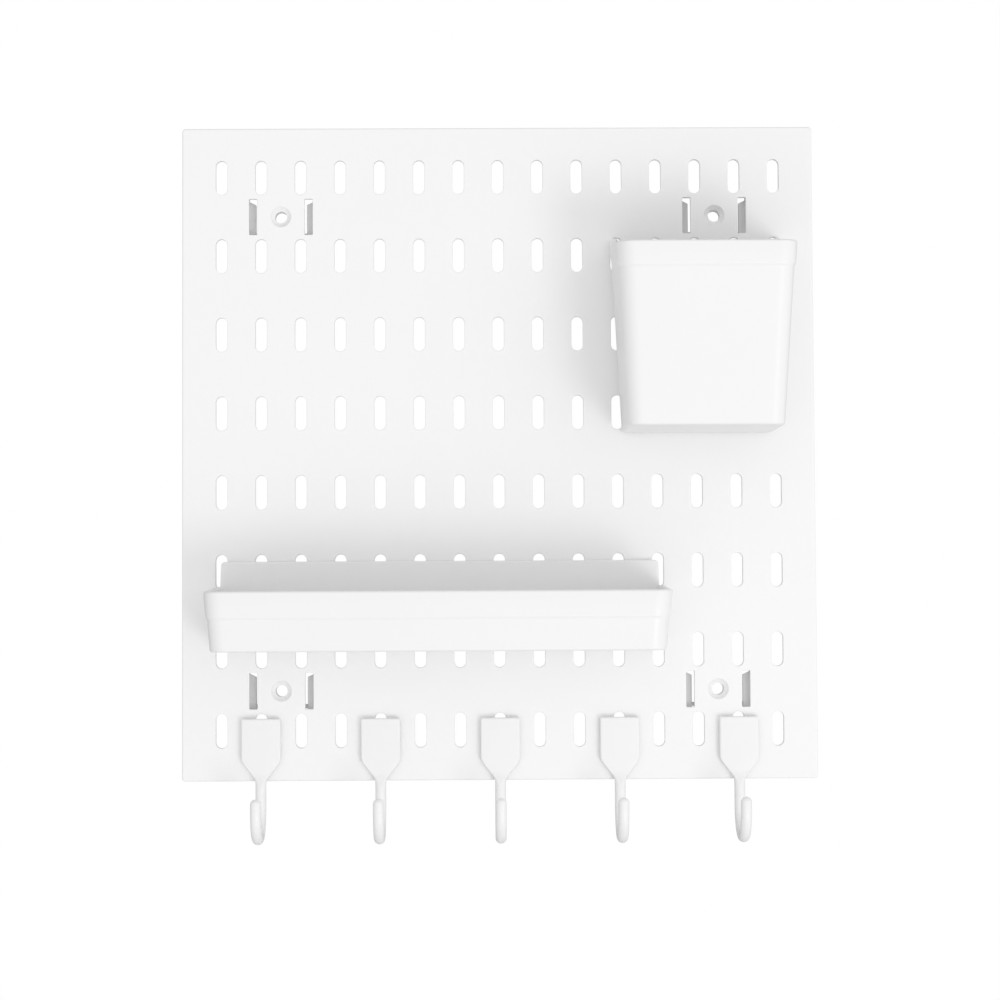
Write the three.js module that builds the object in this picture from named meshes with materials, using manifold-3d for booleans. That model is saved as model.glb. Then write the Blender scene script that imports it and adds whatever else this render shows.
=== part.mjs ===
// White plastic pegboard with a pen cup, a shelf tray and five single hooks, hung on four
// adhesive wall clips. Millimetres, +Z up, the front looks along -Y and the wall is the plane
// y = 0. The origin is the centre of the slot grid, on the wall.

import * as THREE from 'three';
import { mergeVertices } from 'three/addons/utils/BufferGeometryUtils.js';
import Module from 'manifold-3d';

const wasm = await Module();
wasm.setup();

// ---- driving dimensions ----

// slot grid
const COLUMNS = 15;
const ROWS = 8;
const PITCH_X = 17.5;
const PITCH_Z = 35;
const SLOT_WIDTH = 5.1;
const SLOT_HEIGHT = 15.1;

// panel
const PANEL_WIDTH = 280;
const PANEL_HEIGHT = 289;
const PANEL_CORNER = 1.5;
const FACE_FRONT = -12;
const FACE_THICKNESS = 2.5;
const FACE_BACK = FACE_FRONT + FACE_THICKNESS;
const RIM_BACK = -1.5;
const RIM_THICKNESS = 2;
const RIB_DEPTH = 4;
const RIB_THICKNESS = 1.5;
const RIB_ABOVE_ROW = 13.5;
const OVERLAP = 0.5;

// wall clips, with the panel's window and screw boss at each
const CLIP_X = 5.5 * PITCH_X;
const CLIP_Z = 3 * PITCH_Z;
const WINDOW_OFFSET = 12.3;
const WINDOW_WIDTH = 3.6;
const WINDOW_HEIGHT = 16;
const SCREW_RADIUS = 2.65;
const COUNTERSINK_RADIUS = 4.5;
const COUNTERSINK_DEPTH = 1.3;
const BOSS_RADIUS = 5;
const BOSS_BACK = -5;
const TAPE_THICKNESS = 1.2;
const TAPE_INSET = 0.5;
const HOLE_SIDES = 20;
const TOUCH = 0.3;
const CLIP_BASE_THICKNESS = 2;
const CLIP_BASE_BACK = -TAPE_THICKNESS - TOUCH;
const CLIP_BASE_FRONT = CLIP_BASE_BACK - CLIP_BASE_THICKNESS;
const CLIP_HALF_WIDTH = 18;
const CLIP_LOW = -8;
const CLIP_HIGH = 6;
const CLIP_HOLE_RADIUS = 4.8;
const TONGUE_IN = 11.3;
const TONGUE_OUT = 16.6;
const TONGUE_LOW = -8.4;
const TONGUE_HIGH = 7.6;
const TONGUE_FRONT = -7.4;
const TONGUE_BACK = -5.6;
const CHAMFER_WIDTH = 3.3;
const CHAMFER_DROP = 1.6;
const WEB_IN = 11.9;
const WEB_OUT = 14.1;
const WEB_HIGH = -1;
const NOTCH_IN = 8.3;
const NOTCH_OUT = 11.9;
const NOTCH_LOW = -6.2;
const CATCH_IN = 14.4;
const CATCH_OUT = 17;
const CATCH_HEIGHT = 2;
const CATCH_LIP_LOW = 2.6;
const CATCH_BACK = CLIP_BASE_FRONT - 0.4;
const CATCH_LIP_FRONT = TONGUE_BACK + TOUCH;

// pegs on the back of every accessory
const HANG_Y = FACE_FRONT - 0.5;
const PEG_WIDTH = 3.4;
const NECK_ABOVE_SLOT_END = 1.15;
const NECK_HEIGHT = 3;
const TAIL_BELOW_SLOT_END = 7;
const TAIL_FRONT = FACE_BACK + TOUCH;
const TAIL_THICKNESS = 2.2;

// Pen cup. The heights of its rim, and of the lower edge of the band round the rim, are given at
// the back, at the shoulder where the sweep down from the raised back ends, and at the front.
const CUP = {
  centreX: 87.7,
  width: 75.2,
  backFootWidth: 76.6,
  backTopWidth: 75.8,
  depth: 60,
  bottom: 8,
  rim: { back: 94.4, shoulder: 86, front: 85.1 },
  band: { back: 88.2, shoulder: 77, front: 74.4 },
  sweepDepth: 38,
  sideDraft: 0.055,
  frontDraft: 0.12,
};
const CUP_ROW = 1;
const CUP_PEG_OFFSET = 2 * PITCH_X;
const SADDLE_LOW = 88.6;
const SADDLE_LOW_HALF = 29.3;
const SADDLE_HIGH = 95.4;
const SADDLE_HIGH_HALF = 35.6;

// shelf tray
const TRAY = {
  centreX: -1.5 * PITCH_X,
  width: 196.8,
  backFootWidth: 193.4,
  backTopWidth: 192.4,
  depth: 51.5,
  bottom: -86.9,
  rim: { back: -48.1, shoulder: -59.2, front: -61.4 },
  band: { back: -71.9, shoulder: -72.1, front: -72.8 },
  sweepDepth: 3,
  sideDraft: 0.072,
  frontDraft: 0.075,
};
const TRAY_ROW = 5;
const TRAY_PEG_COLUMNS = [1, 4, 7, 10];

// shared by the cup and the tray
const WALL = 2.2;
const BAND_PROUD = 0.7;
const FRONT_CORNER = 7;
const BACK_CORNER = 3;
const CORNER_STEPS = 6;
const SWEEP_STEPS = 8;
const SWEEP_BEND = 1 / 3;
const SWEEP_LIFT = 1;
const FOOT_RISE = 1.5;

// single hooks
const HOOK_ROW = 7;
const HOOK_COLUMNS = [1, 4, 7, 10, 13];
const PLATE_WIDTH = 17.2;
const PLATE_THICKNESS = 3;
const PLATE_ABOVE_ROW = 5.4;
const SHOULDER_BELOW_ROW = 13.2;
const PLATE_TIP_BELOW_ROW = 21.1;
const ROD_RADIUS = 2.35;
const ROD_IN_PLATE = 3;
const ROD_BEHIND = 0.1;
const ROD_TURNS = 12;
const HOOK_REACH = 25;
const HOOK_BOTTOM_BELOW_ROW = 48.2;
const HOOK_TIP_ABOVE_BEND = 3.4;
const ROD_SIDES = 12;
const ROD_STEPS = 26;

// ---- solids ----

function solid(geometry) {
  const bare = new THREE.BufferGeometry();
  bare.setAttribute('position', geometry.getAttribute('position'));
  if (geometry.index) bare.setIndex(geometry.index);
  const merged = mergeVertices(bare, 1e-4);
  return new wasm.Manifold(new wasm.Mesh({
    numProp: 3,
    vertProperties: new Float32Array(merged.getAttribute('position').array),
    triVerts: new Uint32Array(merged.index.array),
  }));
}

function join(first, ...rest) {
  return rest.reduce((sum, piece) => sum.add(piece), first);
}

function cut(base, ...tools) {
  return tools.reduce((left, tool) => left.subtract(tool), base);
}

function geometryOf(manifold) {
  const { vertProperties, triVerts, numProp } = manifold.getMesh();
  const positions = new Float32Array(vertProperties.length / numProp * 3);
  for (let i = 0; i < positions.length / 3; i += 1) {
    positions.set(vertProperties.subarray(i * numProp, i * numProp + 3), i * 3);
  }
  const geometry = new THREE.BufferGeometry();
  geometry.setAttribute('position', new THREE.BufferAttribute(positions, 3));
  geometry.setIndex(new THREE.BufferAttribute(new Uint32Array(triVerts), 1));
  geometry.computeVertexNormals();
  return geometry;
}

// An axis-aligned block between two corners.
function block(low, high) {
  const size = high.map((value, i) => value - low[i]);
  const geometry = new THREE.BoxGeometry(...size);
  geometry.translate(...low.map((value, i) => value + size[i] / 2));
  return solid(geometry);
}

// A shape drawn in (x, z), pushed forwards from backY. Each of its arcs has arcSteps sides.
function pushForward(shape, backY, thickness, arcSteps = 4) {
  const geometry = new THREE.ExtrudeGeometry(shape, {
    depth: thickness, bevelEnabled: false, curveSegments: arcSteps / 2,
  });
  geometry.applyMatrix4(new THREE.Matrix4().makeBasis(
    new THREE.Vector3(1, 0, 0), new THREE.Vector3(0, 0, 1), new THREE.Vector3(0, -1, 0),
  ));
  geometry.translate(0, backY, 0);
  return solid(geometry);
}

// A shape drawn in (y, z), pushed along x and centred on centreX.
function pushSideways(shape, centreX, width) {
  const geometry = new THREE.ExtrudeGeometry(shape, { depth: width, bevelEnabled: false });
  geometry.applyMatrix4(new THREE.Matrix4().makeBasis(
    new THREE.Vector3(0, 1, 0), new THREE.Vector3(0, 0, 1), new THREE.Vector3(1, 0, 0),
  ));
  geometry.translate(centreX - width / 2, 0, 0);
  return solid(geometry);
}

function polygon(...points) {
  return new THREE.Shape(points.map(([u, v]) => new THREE.Vector2(u, v)));
}

function columnX(column) {
  return (column - (COLUMNS - 1) / 2) * PITCH_X;
}

function rowZ(row) {
  return ((ROWS - 1) / 2 - row) * PITCH_Z;
}

// A rounded rectangle with its own radius at the low-v and high-v corners.
function roundedRectangle(width, vLow, vHigh, radiusLow, radiusHigh) {
  const half = width / 2;
  const shape = new THREE.Shape();
  shape.moveTo(-half + radiusLow, vLow);
  shape.lineTo(half - radiusLow, vLow);
  shape.absarc(half - radiusLow, vLow + radiusLow, radiusLow, -Math.PI / 2, 0);
  shape.lineTo(half, vHigh - radiusHigh);
  shape.absarc(half - radiusHigh, vHigh - radiusHigh, radiusHigh, 0, Math.PI / 2);
  shape.lineTo(-half + radiusHigh, vHigh);
  shape.absarc(-half + radiusHigh, vHigh - radiusHigh, radiusHigh, Math.PI / 2, Math.PI);
  shape.lineTo(-half, vLow + radiusLow);
  shape.absarc(-half + radiusLow, vLow + radiusLow, radiusLow, Math.PI, 1.5 * Math.PI);
  return shape;
}

// ---- panel ----

function slotShape(x, z) {
  const radius = SLOT_WIDTH / 2;
  const straight = SLOT_HEIGHT / 2 - radius;
  const shape = new THREE.Shape();
  shape.absarc(x, z + straight, radius, 0, Math.PI);
  shape.absarc(x, z - straight, radius, Math.PI, 2 * Math.PI);
  return shape;
}

function windowShape(x, z) {
  const halfWidth = WINDOW_WIDTH / 2;
  const halfHeight = WINDOW_HEIGHT / 2;
  return polygon(
    [x - halfWidth, z - halfHeight],
    [x + halfWidth, z - halfHeight],
    [x + halfWidth, z + halfHeight],
    [x - halfWidth, z + halfHeight],
  );
}

function panelFace() {
  const half = PANEL_HEIGHT / 2;
  const outline = roundedRectangle(PANEL_WIDTH, -half, half, PANEL_CORNER, PANEL_CORNER);
  const openings = [];
  for (let row = 0; row < ROWS; row += 1) {
    for (let column = 0; column < COLUMNS; column += 1) {
      openings.push(slotShape(columnX(column), rowZ(row)));
    }
  }
  for (const { x, z } of clipPlaces()) {
    openings.push(windowShape(x - WINDOW_OFFSET, z));
    openings.push(windowShape(x + WINDOW_OFFSET, z));
  }
  const through = FACE_THICKNESS + 2 * OVERLAP;
  const cutters = openings.map((shape) => pushForward(shape, FACE_BACK + OVERLAP, through));
  return cut(pushForward(outline, FACE_BACK, FACE_THICKNESS), ...cutters);
}

function panelRim() {
  const half = PANEL_HEIGHT / 2;
  const shape = roundedRectangle(PANEL_WIDTH, -half, half, PANEL_CORNER, PANEL_CORNER);
  const inside = block(
    [-PANEL_WIDTH / 2 + RIM_THICKNESS, FACE_FRONT, -half + RIM_THICKNESS],
    [PANEL_WIDTH / 2 - RIM_THICKNESS, 0, half - RIM_THICKNESS],
  );
  const depth = RIM_BACK - FACE_BACK + OVERLAP;
  return cut(pushForward(shape, RIM_BACK, depth), inside);
}

function panelRibs() {
  const halfWidth = PANEL_WIDTH / 2 - OVERLAP;
  const front = FACE_BACK - OVERLAP;
  const back = FACE_BACK + RIB_DEPTH;
  const ribs = [];
  for (let row = 2; row < ROWS - 1; row += 1) {
    const low = rowZ(row) + RIB_ABOVE_ROW - RIB_THICKNESS / 2;
    ribs.push(block([-halfWidth, front, low], [halfWidth, back, low + RIB_THICKNESS]));
  }
  return ribs;
}

function screwBoss(x, z) {
  const length = BOSS_BACK - FACE_BACK + OVERLAP;
  const geometry = new THREE.CylinderGeometry(BOSS_RADIUS, BOSS_RADIUS, length, HOLE_SIDES);
  geometry.translate(x, BOSS_BACK - length / 2, z);
  return solid(geometry);
}

// The screw's path: a countersink in the front face that narrows to the shank's hole.
function screwPath(x, z) {
  const slope = (COUNTERSINK_RADIUS - SCREW_RADIUS) / COUNTERSINK_DEPTH;
  const geometry = new THREE.LatheGeometry([
    new THREE.Vector2(0, FACE_FRONT - 1),
    new THREE.Vector2(COUNTERSINK_RADIUS + slope, FACE_FRONT - 1),
    new THREE.Vector2(SCREW_RADIUS, FACE_FRONT + COUNTERSINK_DEPTH),
    new THREE.Vector2(SCREW_RADIUS, BOSS_BACK + 1),
    new THREE.Vector2(0, BOSS_BACK + 1),
  ], HOLE_SIDES);
  geometry.translate(x, 0, z);
  return solid(geometry);
}

// A shelf that rests on the clip's tongue, with a lip that drops behind the tongue.
function catchOf(x, z, side) {
  const inner = x + side * CATCH_IN;
  const outer = x + side * CATCH_OUT;
  const left = Math.min(inner, outer);
  const right = Math.max(inner, outer);
  const low = z + TONGUE_HIGH + TOUCH;
  const shelf = block(
    [left, FACE_BACK - OVERLAP, low], [right, CATCH_BACK, low + CATCH_HEIGHT],
  );
  const lip = block([left, CATCH_LIP_FRONT, z + CATCH_LIP_LOW], [right, CATCH_BACK, low + OVERLAP]);
  return join(shelf, lip);
}

function pegboardPanel() {
  let panel = join(panelFace(), panelRim(), ...panelRibs());
  for (const { x, z } of clipPlaces()) {
    panel = join(panel, screwBoss(x, z), catchOf(x, z, -1), catchOf(x, z, 1));
    panel = cut(panel, screwPath(x, z));
  }
  return panel;
}

// ---- wall clips and their tape ----

function clipPlaces() {
  return [
    { name: 'top_left', x: -CLIP_X, z: CLIP_Z },
    { name: 'top_right', x: CLIP_X, z: CLIP_Z },
    { name: 'bottom_left', x: -CLIP_X, z: -CLIP_Z },
    { name: 'bottom_right', x: CLIP_X, z: -CLIP_Z },
  ];
}

// The comb outline shared by the clip's base and its tape, grown by `grow` all round.
function clipOutline(grow) {
  const half = CLIP_HALF_WIDTH + grow;
  const low = CLIP_LOW - grow;
  const high = CLIP_HIGH + grow;
  const notchOut = NOTCH_OUT - grow;
  const notchIn = NOTCH_IN + grow;
  const notchLow = NOTCH_LOW + grow;
  const shape = polygon(
    [-half, low], [half, low], [half, high], [notchOut, high], [notchOut, notchLow],
    [notchIn, notchLow], [notchIn, high], [-notchIn, high], [-notchIn, notchLow],
    [-notchOut, notchLow], [-notchOut, high], [-half, high],
  );
  const hole = new THREE.Path();
  hole.absarc(0, 0, CLIP_HOLE_RADIUS - grow, 0, 2 * Math.PI);
  shape.holes.push(hole);
  return shape;
}

// The tongue that stands in front of the base, with a chamfer towards the screw hole.
function clipTongue(side) {
  const shape = polygon(
    [side * TONGUE_IN, TONGUE_LOW],
    [side * TONGUE_OUT, TONGUE_LOW],
    [side * TONGUE_OUT, TONGUE_HIGH],
    [side * (TONGUE_IN + CHAMFER_WIDTH), TONGUE_HIGH],
    [side * TONGUE_IN, TONGUE_HIGH - CHAMFER_DROP],
  );
  const left = Math.min(side * WEB_IN, side * WEB_OUT);
  const right = Math.max(side * WEB_IN, side * WEB_OUT);
  const web = block(
    [left, TONGUE_BACK - OVERLAP, TONGUE_LOW], [right, CLIP_BASE_FRONT + OVERLAP, WEB_HIGH],
  );
  return join(pushForward(shape, TONGUE_BACK, TONGUE_BACK - TONGUE_FRONT), web);
}

function wallClip() {
  const base = pushForward(clipOutline(0), CLIP_BASE_BACK, CLIP_BASE_THICKNESS, HOLE_SIDES);
  return join(base, clipTongue(-1), clipTongue(1));
}

function adhesiveTape() {
  return pushForward(clipOutline(-TAPE_INSET), 0, TAPE_THICKNESS, HOLE_SIDES);
}

// ---- pegs, cup and tray ----

// A neck that goes through the slot and a tail that hangs behind the face.
function peg(x, row) {
  const slotEnd = rowZ(row) - SLOT_HEIGHT / 2;
  const neckLow = slotEnd + NECK_ABOVE_SLOT_END;
  const neckHigh = neckLow + NECK_HEIGHT;
  const tailBack = TAIL_FRONT + TAIL_THICKNESS;
  const tailLow = slotEnd - TAIL_BELOW_SLOT_END;
  const shape = polygon(
    [HANG_Y - OVERLAP, neckLow],
    [TAIL_FRONT, neckLow],
    [TAIL_FRONT, tailLow],
    [tailBack, tailLow],
    [tailBack, neckHigh],
    [HANG_Y - OVERLAP, neckHigh],
  );
  return pushSideways(shape, x, PEG_WIDTH);
}

// A block whose plan is a rounded rectangle that shrinks downwards with the draft. Its back stays
// upright. `grow` moves its sides and front outwards, and `backGap` its back forwards.
function draftedBlock(box, low, grow, backGap) {
  const width = box.width + 2 * grow + 2 * box.sideDraft * (box.rim.back - box.rim.front);
  const depth = box.depth + grow - backGap;
  const high = box.rim.back + (grow < 0 ? 1 : 0);
  const plan = roundedRectangle(
    width, -depth, 0, FRONT_CORNER + grow, BACK_CORNER + Math.min(grow, 0),
  );
  const geometry = new THREE.ExtrudeGeometry(plan, {
    depth: high - low, bevelEnabled: false, curveSegments: CORNER_STEPS / 2,
  });
  const position = geometry.getAttribute('position');
  for (let i = 0; i < position.count; i += 1) {
    const drop = box.rim.back - low - position.getZ(i);
    const scaleX = 1 - box.sideDraft * drop / (width / 2);
    const scaleY = 1 - box.frontDraft * drop / depth;
    position.setXYZ(
      i,
      box.centreX + position.getX(i) * scaleX,
      HANG_Y - backGap + position.getY(i) * scaleY,
      position.getZ(i) + low,
    );
  }
  return solid(geometry);
}

// A line along the side, seen from the side: a sweep down from the back to the shoulder, and then
// straight to a point just past the front.
function sideLine(box, heights) {
  const backY = HANG_Y - WALL;
  const curve = new THREE.QuadraticBezierCurve(
    new THREE.Vector2(backY, heights.back),
    new THREE.Vector2(backY - box.sweepDepth * SWEEP_BEND, heights.shoulder + SWEEP_LIFT),
    new THREE.Vector2(backY - box.sweepDepth, heights.shoulder),
  );
  return [...curve.getPoints(SWEEP_STEPS), new THREE.Vector2(HANG_Y - box.depth - 1, heights.front)];
}

// Everything below the rim, seen from the side.
function underRim(box) {
  const line = sideLine(box, box.rim);
  return new THREE.Shape([
    new THREE.Vector2(HANG_Y + 1, box.bottom - 1),
    new THREE.Vector2(HANG_Y + 1, box.rim.back),
    ...line,
    new THREE.Vector2(line.at(-1).x, box.bottom - 1),
  ]);
}

// The band round the rim, seen from the side.
function bandProfile(box) {
  return new THREE.Shape([
    new THREE.Vector2(HANG_Y, box.band.back),
    new THREE.Vector2(HANG_Y, box.rim.back),
    ...sideLine(box, box.rim),
    ...sideLine(box, box.band).reverse(),
  ]);
}

// The outline seen from the front, with the raised back narrowing to its top edge.
function frontOutline(box) {
  const rimHalf = box.width / 2 + BAND_PROUD;
  const footHalf = box.backFootWidth / 2;
  const topHalf = box.backTopWidth / 2;
  const footZ = box.rim.shoulder + FOOT_RISE;
  return polygon(
    [box.centreX - rimHalf, box.bottom - 1],
    [box.centreX + rimHalf, box.bottom - 1],
    [box.centreX + rimHalf, box.rim.shoulder],
    [box.centreX + footHalf, footZ],
    [box.centreX + topHalf, box.rim.back],
    [box.centreX - topHalf, box.rim.back],
    [box.centreX - footHalf, footZ],
    [box.centreX - rimHalf, box.rim.shoulder],
  );
}

function container(box) {
  const fullWidth = box.width + 2 * BAND_PROUD;
  const body = draftedBlock(box, box.bottom, 0, 0)
    .intersect(pushSideways(underRim(box), box.centreX, box.width));
  const band = draftedBlock(box, box.bottom, BAND_PROUD, 0)
    .intersect(pushSideways(bandProfile(box), box.centreX, fullWidth));
  const outline = pushForward(frontOutline(box), HANG_Y + 1, box.depth + 2 * WALL);
  const hollow = draftedBlock(box, box.bottom + WALL, -WALL, WALL);
  return cut(join(body, band).intersect(outline), hollow);
}

// The cup's back dips between its two raised ends, which carry the pegs.
function penCup() {
  const saddle = polygon(
    [CUP.centreX - SADDLE_HIGH_HALF, SADDLE_HIGH],
    [CUP.centreX - SADDLE_LOW_HALF, SADDLE_LOW],
    [CUP.centreX + SADDLE_LOW_HALF, SADDLE_LOW],
    [CUP.centreX + SADDLE_HIGH_HALF, SADDLE_HIGH],
  );
  return join(
    cut(container(CUP), pushForward(saddle, HANG_Y + 1, WALL + 2)),
    peg(CUP.centreX - CUP_PEG_OFFSET, CUP_ROW),
    peg(CUP.centreX + CUP_PEG_OFFSET, CUP_ROW),
  );
}

function shelfTray() {
  const pegs = TRAY_PEG_COLUMNS.map((column) => peg(columnX(column), TRAY_ROW));
  return join(container(TRAY), ...pegs);
}

// ---- single hooks ----

function hookPlate(x) {
  const z = rowZ(HOOK_ROW);
  const half = PLATE_WIDTH / 2;
  const shape = polygon(
    [x - half, z - SHOULDER_BELOW_ROW],
    [x - ROD_RADIUS, z - PLATE_TIP_BELOW_ROW],
    [x + ROD_RADIUS, z - PLATE_TIP_BELOW_ROW],
    [x + half, z - SHOULDER_BELOW_ROW],
    [x + half, z + PLATE_ABOVE_ROW],
    [x - half, z + PLATE_ABOVE_ROW],
  );
  return pushForward(shape, HANG_Y, PLATE_THICKNESS);
}

// The rod's centre line: down from the plate, round a half circle forwards, and up to the tip.
function hookPath(x) {
  const stemY = HANG_Y - ROD_RADIUS - ROD_BEHIND;
  const radius = HOOK_REACH / 2;
  const bendZ = rowZ(HOOK_ROW) - HOOK_BOTTOM_BELOW_ROW + ROD_RADIUS + radius;
  const point = (y, z) => new THREE.Vector3(x, y, z);
  const stemTop = rowZ(HOOK_ROW) - PLATE_TIP_BELOW_ROW + ROD_IN_PLATE;
  const points = [point(stemY, stemTop), point(stemY, (stemTop + bendZ) / 2)];
  for (let i = 0; i <= ROD_TURNS; i += 1) {
    const angle = Math.PI * i / ROD_TURNS;
    points.push(point(
      stemY - radius + radius * Math.cos(angle), bendZ - radius * Math.sin(angle),
    ));
  }
  points.push(point(stemY - 2 * radius, bendZ + HOOK_TIP_ABOVE_BEND));
  return { curve: new THREE.CatmullRomCurve3(points), tip: points.at(-1) };
}

function hookRod(x) {
  const { curve, tip } = hookPath(x);
  const section = new THREE.Shape();
  section.absarc(0, 0, ROD_RADIUS, 0, 2 * Math.PI);
  const rod = solid(new THREE.ExtrudeGeometry(section, {
    steps: ROD_STEPS, extrudePath: curve, curveSegments: ROD_SIDES / 2,
  }));
  const end = new THREE.SphereGeometry(ROD_RADIUS, ROD_SIDES, ROD_SIDES / 2);
  end.translate(tip.x, tip.y, tip.z);
  return join(rod, solid(end));
}

function singleHook(column) {
  const x = columnX(column);
  return join(hookPlate(x), hookRod(x), peg(x, HOOK_ROW));
}

// ---- assembly ----

const whitePlastic = { color: 0xf2f2f1, roughness: 0.42, metalness: 0 };
const clipPlastic = { color: 0xe6e6e6, roughness: 0.5, metalness: 0 };
const foamTape = { color: 0xe9e7e0, roughness: 0.9, metalness: 0 };

function named(name, manifold, look) {
  const mesh = new THREE.Mesh(geometryOf(manifold), new THREE.MeshStandardMaterial(look));
  mesh.name = name;
  return mesh;
}

const pegboard = new THREE.Group();
pegboard.add(named('pegboard_panel', pegboardPanel(), whitePlastic));
for (const { name, x, z } of clipPlaces()) {
  const clip = named(`wall_clip_${name}`, wallClip(), clipPlastic);
  const tape = named(`adhesive_tape_${name}`, adhesiveTape(), foamTape);
  clip.position.set(x, 0, z);
  tape.position.set(x, 0, z);
  pegboard.add(clip, tape);
}
pegboard.add(named('pen_cup', penCup(), whitePlastic));
pegboard.add(named('shelf_tray', shelfTray(), whitePlastic));
HOOK_COLUMNS.forEach((column, i) => {
  pegboard.add(named(`hook_${i + 1}`, singleHook(column), whitePlastic));
});

export default pegboard;
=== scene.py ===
"""White plastic pegboard with a pen cup, a shelf tray and five single hooks, on four wall clips.

Shapes are worked out in millimetres and written to meshes in metres, in the CAD frame: +X right,
-Y towards the viewer, +Z up.
"""

import math

import bmesh
import bpy
from mathutils import Euler, Matrix, Vector
from mathutils.geometry import delaunay_2d_cdt, tessellate_polygon


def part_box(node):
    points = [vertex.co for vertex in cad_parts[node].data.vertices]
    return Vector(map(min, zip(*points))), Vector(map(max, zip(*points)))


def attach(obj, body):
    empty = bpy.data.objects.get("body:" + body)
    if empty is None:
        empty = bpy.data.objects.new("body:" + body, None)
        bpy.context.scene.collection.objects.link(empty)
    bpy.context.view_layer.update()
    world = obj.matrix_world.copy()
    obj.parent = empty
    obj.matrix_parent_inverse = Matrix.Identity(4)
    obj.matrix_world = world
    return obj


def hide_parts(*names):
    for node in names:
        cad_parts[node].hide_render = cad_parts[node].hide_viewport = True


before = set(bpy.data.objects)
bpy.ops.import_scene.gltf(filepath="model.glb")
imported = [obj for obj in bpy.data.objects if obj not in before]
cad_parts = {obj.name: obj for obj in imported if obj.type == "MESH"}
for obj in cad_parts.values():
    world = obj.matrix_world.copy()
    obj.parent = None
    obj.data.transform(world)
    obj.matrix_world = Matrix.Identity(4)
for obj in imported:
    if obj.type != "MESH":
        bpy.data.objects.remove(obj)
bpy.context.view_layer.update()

MM = 0.001
QUARTER = math.pi / 2


def node_box(name):
    """The lowest and highest corner of a CAD node, in millimetres."""
    low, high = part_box(name)
    return [v / MM for v in low], [v / MM for v in high]


# ---- driving dimensions, millimetres ----

COLUMNS = 15
ROWS = 8
PITCH_X = 17.5
PITCH_Z = 35.0
SLOT_WIDTH = 5.1
SLOT_HEIGHT = 15.1

PANEL_LOW, PANEL_HIGH = node_box("pegboard_panel")
PANEL_WIDTH = PANEL_HIGH[0] - PANEL_LOW[0]
PANEL_HEIGHT = PANEL_HIGH[2] - PANEL_LOW[2]
FACE_FRONT = PANEL_LOW[1]
FACE_BACK = FACE_FRONT + 2.5
RIM_BACK = PANEL_HIGH[1]
RIM_THICKNESS = 2.0
RIB_THICKNESS = 1.5
RIB_DEPTH = 4.0
RIB_ABOVE_ROW = 13.5

CLIP_X = 5.5 * PITCH_X
CLIP_Z = 3 * PITCH_Z
CLIP_NAMES = ("top_left", "top_right", "bottom_left", "bottom_right")
WINDOW_OFFSET = 12.3
WINDOW_WIDTH = 3.6
WINDOW_HEIGHT = 16.0
SCREW_RADIUS = 2.65
COUNTERSINK_RADIUS = 4.5
COUNTERSINK_DEPTH = 1.3
BOSS_RADIUS = 5.0
BOSS_BACK = -5.0
CATCH_SPAN = (14.4, 17.0)
CATCH_SHELF_ABOVE = 7.9
CATCH_SHELF_HEIGHT = 2.0
CATCH_LIP_ABOVE = 2.6
CATCH_LIP_Y = (-5.3, -3.9)

CLIP_HALF_WIDTH = 18.0
CLIP_LOW = -8.0
CLIP_HIGH = 6.0
CLIP_BASE_THICKNESS = 2.0
CLIP_HOLE_RADIUS = 4.8
NOTCH_IN = 8.3
NOTCH_OUT = 11.9
NOTCH_LOW = -6.2
TONGUE_CORNERS = ((11.3, -8.4), (16.6, -8.4), (16.6, 7.6), (14.6, 7.6), (11.3, 6.0))
TONGUE_THICKNESS = 1.8
WEB_OFFSET = 13.0
WEB_MIDDLE = -4.7
WEB_SIZE = (2.2, 7.4)
TAPE_INSET = 0.5

# how far a piece runs into its neighbour where the two are one moulding
OVERLAP = 0.4

HANG_Y = FACE_FRONT - 0.5
PEG_WIDTH = 3.4
NECK_ABOVE_SLOT_END = 1.15
NECK_HEIGHT = 3.0
TAIL_BELOW_SLOT_END = 7.0
TAIL_FRONT = FACE_BACK + 0.3
TAIL_THICKNESS = 2.2

HOOK_COLUMNS = (1, 4, 7, 10, 13)
HOOK_ROW = 7


def column_x(column):
    return (column - (COLUMNS - 1) / 2) * PITCH_X


def row_z(row):
    return ((ROWS - 1) / 2 - row) * PITCH_Z


def clip_places():
    signs = ((-1, 1), (1, 1), (-1, -1), (1, -1))
    return [(name, sx * CLIP_X, sz * CLIP_Z) for name, (sx, sz) in zip(CLIP_NAMES, signs)]


# ---- mesh building ----


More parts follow.
